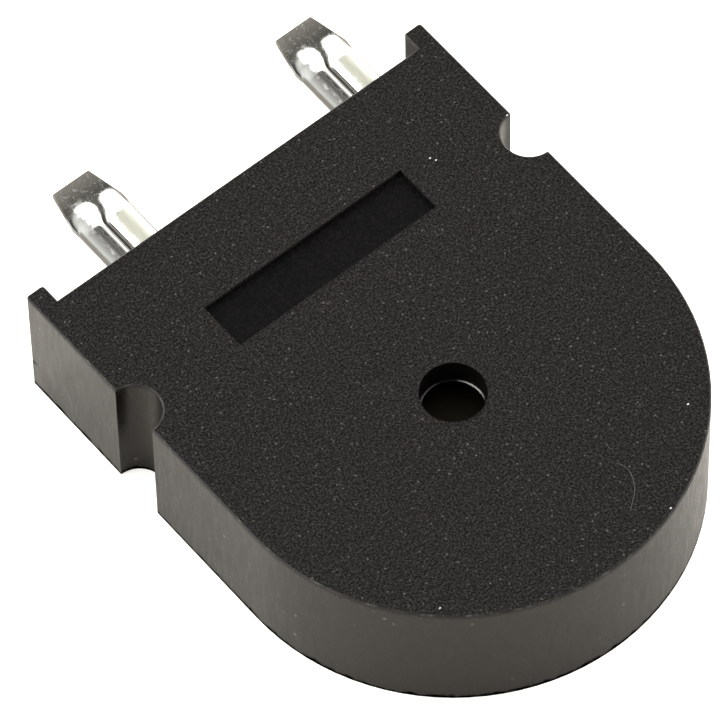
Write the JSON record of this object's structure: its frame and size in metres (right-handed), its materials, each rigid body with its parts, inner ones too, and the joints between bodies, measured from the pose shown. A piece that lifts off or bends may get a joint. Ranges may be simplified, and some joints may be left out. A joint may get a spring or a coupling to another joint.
{
  "type": "piezo buzzer",
  "caption": "Flat D-shaped buzzer: a moulded case with a sound hole and corner feet, rolled flat pins at its straight end, and a brass diaphragm with a piezo ceramic disc inside.",
  "frame": {"origin": "on the axis of the sound hole, at the back face", "axes": "+Z out of the sound hole, +Y out along the pins, +X to the right when the pins point up"},
  "size_m": [0.0176, 0.025, 0.0056],
  "materials": {
    "case_plastic": "spark-eroded matt top, satin sides",
    "cover_plastic": "fine matt",
    "silicone": "translucent bead",
    "brass_sheet": "rolled sheet",
    "piezo_ceramic": "matt sintered",
    "fired_silver": "matt fired silver",
    "tinned_metal": "bright tin plating"
  },
  "bodies": {
    "root": {"case": "case_plastic", "back_cover": "cover_plastic", "silicone_ring": "silicone", "diaphragm_plate": "brass_sheet", "ceramic_disc": "piezo_ceramic", "silver_electrode": "fired_silver", "electrode_terminal": "tinned_metal", "plate_terminal": "tinned_metal"}
  },
  "joints": []
}
